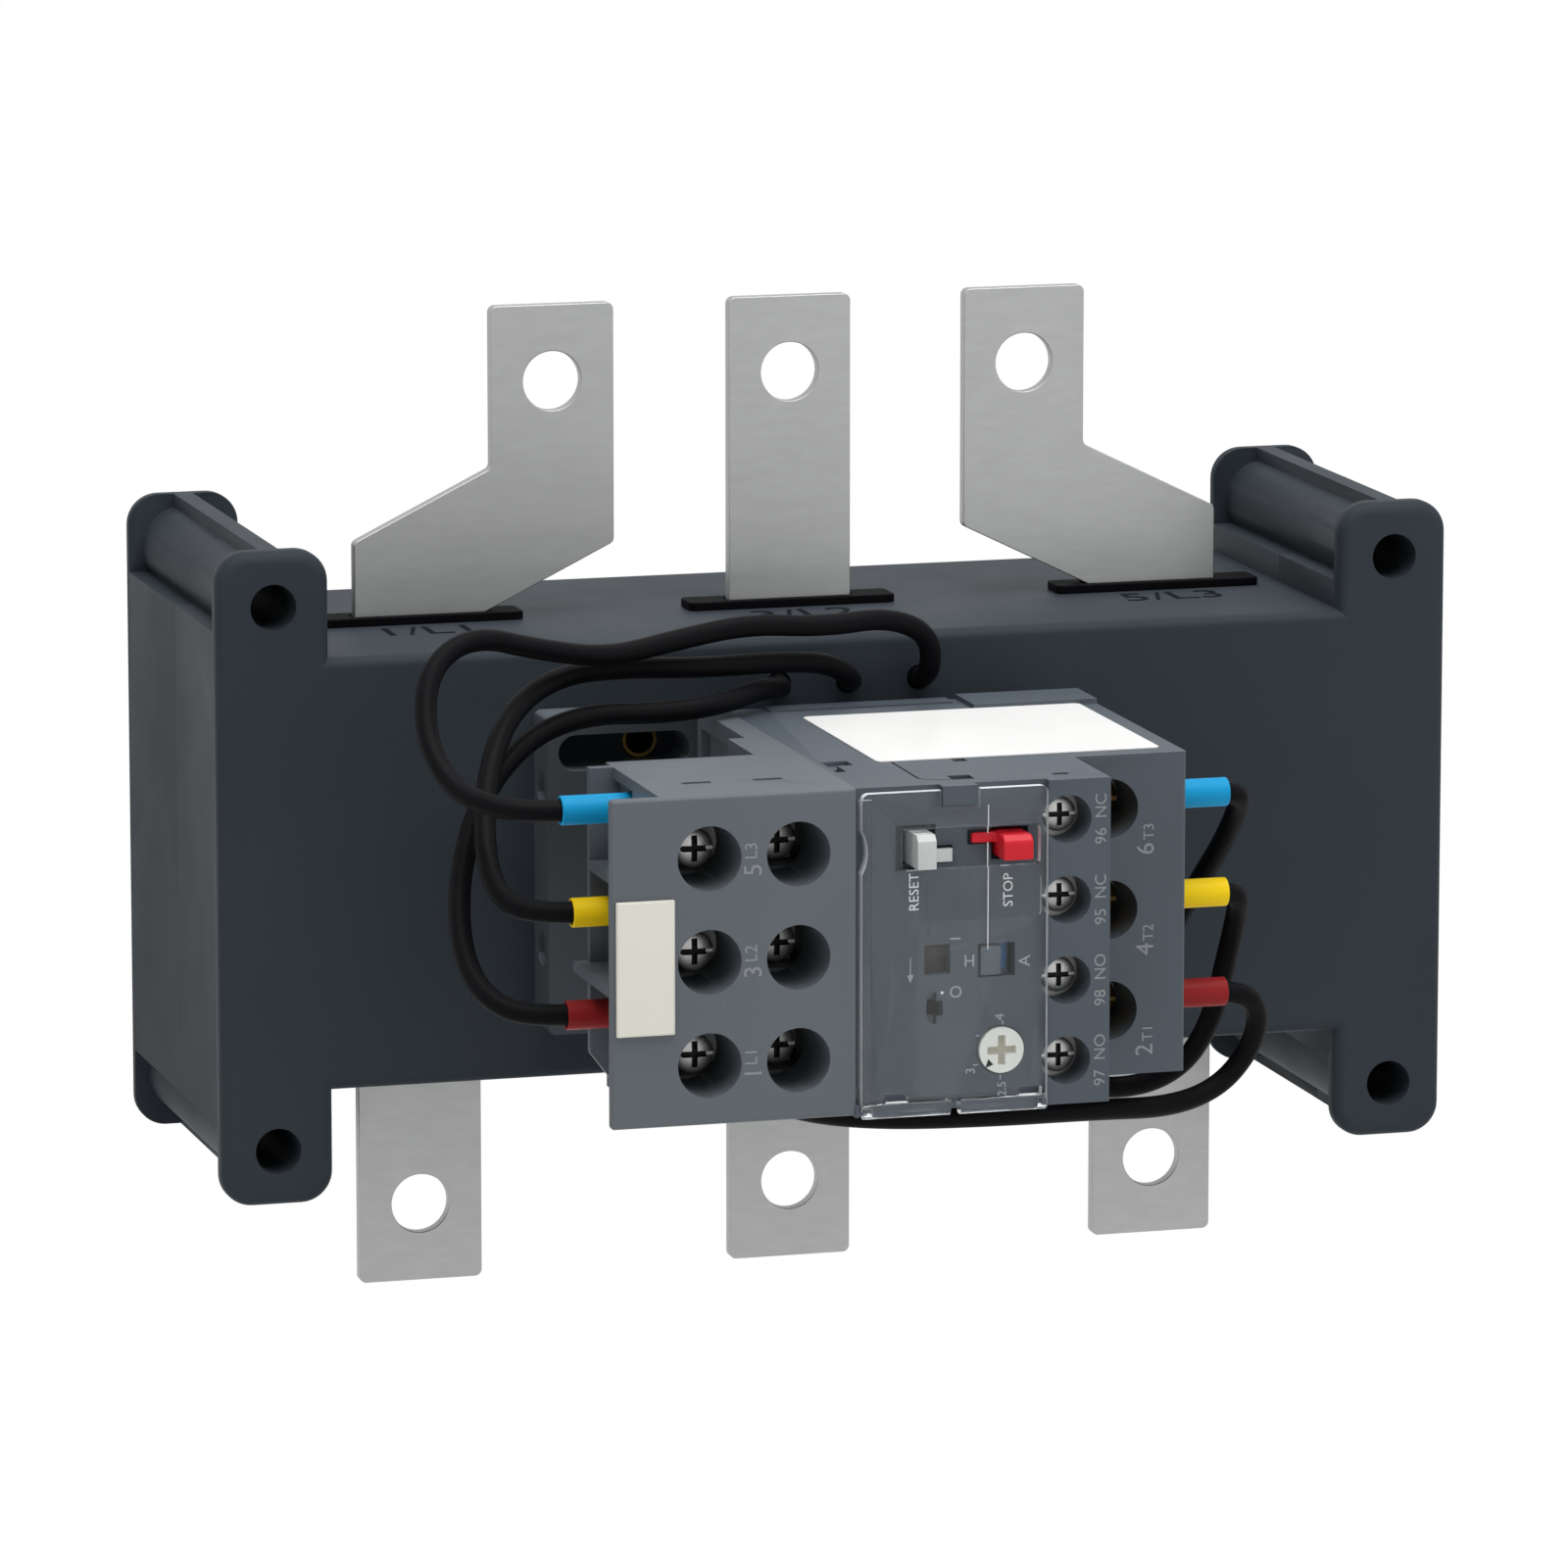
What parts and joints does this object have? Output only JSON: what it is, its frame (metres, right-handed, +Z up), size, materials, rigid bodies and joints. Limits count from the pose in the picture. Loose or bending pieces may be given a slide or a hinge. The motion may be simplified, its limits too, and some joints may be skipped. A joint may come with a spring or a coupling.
{
  "type": "thermal overload relay",
  "caption": "Overload relay plugged into a terminal adapter on a three-bar current transformer block, with coloured-ferrule leads, a clear hinged cover, reset and stop buttons.",
  "frame": {"origin": "centre of the transformer block's back face, which lies on the panel", "axes": "+X to the right along the block's length, +Z up along the busbars, +Y backwards into the panel"},
  "size_m": [0.18, 0.1355, 0.1401],
  "materials": {
    "block_plastic": "fine moulded grain",
    "relay_plastic": "fine moulded grain",
    "black_plastic": "smooth",
    "tinned_copper": "tin plated, fine brushed",
    "brass": "turned",
    "zinc_steel": "zinc plated",
    "spring_steel": "drawn wire",
    "core_steel": "wound strip",
    "winding": "enamelled wire",
    "bimetal": "rolled strip",
    "heater_ribbon": "rolled ribbon",
    "marker_white": "smooth",
    "label_white": "printed film",
    "clear_plastic": "clear, moulded",
    "button_white": "smooth",
    "button_red": "smooth",
    "selector_grey": "smooth",
    "insert_blue": "smooth",
    "dial_cream": "smooth",
    "flag_brown": "smooth",
    "nylon_natural": "smooth",
    "contact_silver": "silver faced",
    "lead_black": "smooth insulation",
    "ferrule_blue": "smooth",
    "ferrule_yellow": "smooth",
    "ferrule_red": "smooth"
  },
  "bodies": {
    "block": {"adapter_base": "relay_plastic", "adapter_clamp_plates": "zinc_steel", "adapter_fixing_screws": "zinc_steel", "adapter_line_screws": "zinc_steel", "adapter_relay_screws": "zinc_steel", "adapter_strips": "tinned_copper", "adapter_terminal_block": "relay_plastic", "aux_clamps": "zinc_steel", "aux_screws": "zinc_steel", "bar_collars": "black_plastic", "bimetal_l1": "bimetal", "bimetal_l2": "bimetal", "bimetal_l3": "bimetal", "bimetal_mounts": "zinc_steel", "busbar_l1": "tinned_copper", "busbar_l2": "tinned_copper", "busbar_l3": "tinned_copper", "current_cores": "core_steel", "front_housing": "block_plastic", "heater_windings": "heater_ribbon", "housing_screws": "zinc_steel", "lead_line_blue": "lead_black", "lead_line_red": "lead_black", "lead_line_yellow": "lead_black", "lead_load_blue": "lead_black", "lead_load_red": "lead_black", "lead_load_yellow": "lead_black", "lever_pin": "spring_steel", "marker_plate": "marker_white", "nc_contacts": "contact_silver", "no_contacts": "contact_silver", "power_clamps": "zinc_steel", "power_screws": "brass", "power_terminals": "brass", "rating_label": "label_white", "rear_housing": "block_plastic", "relay_case": "relay_plastic", "relay_front": "relay_plastic", "relay_pins": "tinned_copper", "reset_spring": "spring_steel", "secondary_windings": "winding", "sleeves_blue": "ferrule_blue", "sleeves_red": "ferrule_red", "sleeves_yellow": "ferrule_yellow", "threaded_inserts": "brass"},
    "cover": {"clear_cover": "clear_plastic"},
    "reset": {"reset_button": "button_white"},
    "stop": {"stop_button": "button_red"},
    "selector": {"selector_slider": "selector_grey", "mode_insert": "insert_blue"},
    "dial": {"setting_dial": "dial_cream", "setting_cam": "nylon_natural"},
    "test": {"test_button": "black_plastic"},
    "trip": {"trip_slide": "nylon_natural"},
    "differential": {"differential_slide": "nylon_natural"},
    "lever": {"compensator_lever": "bimetal"},
    "carrier": {"contact_carrier": "nylon_natural", "nc_bridge": "contact_silver", "no_bridge": "contact_silver"},
    "flag": {"trip_flag": "flag_brown"}
  },
  "joints": [
    {"name": "cover_hinge", "type": "hinge", "parent": "block", "child": "cover", "pos_m": [-0.006, -0.1322, -0.0214], "axis": [1, 0, 0], "range_deg": [0, 110]},
    {"name": "reset_press", "type": "slide", "parent": "block", "child": "reset", "axis": [0, 1, 0], "range_m": [0, 0.002], "stiffness_N_per_m": 300, "springref_m": -0.001, "deforming": ["reset_spring"]},
    {"name": "stop_press", "type": "slide", "parent": "block", "child": "stop", "axis": [0, 1, 0], "range_m": [0, 0.002], "stiffness_N_per_m": 300, "springref_m": -0.001},
    {"name": "selector_shift", "type": "slide", "parent": "block", "child": "selector", "axis": [1, 0, 0], "range_m": [0, 0.0018]},
    {"name": "dial_turn", "type": "hinge", "parent": "block", "child": "dial", "pos_m": [0.001, -0.13, -0.0142], "axis": [0, -1, 0], "range_deg": [-135, 45]},
    {"name": "test_press", "type": "slide", "parent": "block", "child": "test", "axis": [0, 1, 0], "range_m": [0, 0.0012], "stiffness_N_per_m": 300, "springref_m": -0.001},
    {"name": "trip_push", "type": "slide", "parent": "block", "child": "trip", "axis": [0, 0, 1], "range_m": [0, 0.0012]},
    {"name": "differential_push", "type": "slide", "parent": "block", "child": "differential", "axis": [0, 0, 1], "range_m": [0, 0.0006]},
    {"name": "lever_swing", "type": "hinge", "parent": "block", "child": "lever", "pos_m": [-0.0151, -0.1185, 0.0174], "axis": [1, 0, 0], "range_deg": [0, 3.5]},
    {"name": "carrier_shift", "type": "slide", "parent": "block", "child": "carrier", "axis": [0, -1, 0], "range_m": [0, 0.0011]},
    {"name": "flag_drop", "type": "slide", "parent": "block", "child": "flag", "axis": [0, 0, -1], "range_m": [0, 0.002]}
  ],
  "couplings": [
    {"joint": "differential_push", "follows": "trip_push", "ratio": 0.5},
    {"joint": "lever_swing", "follows": "trip_push", "rad_per_m": 50},
    {"joint": "carrier_shift", "follows": "trip_push", "ratio": 0.9166},
    {"joint": "flag_drop", "follows": "trip_push", "ratio": 1.666}
  ]
}
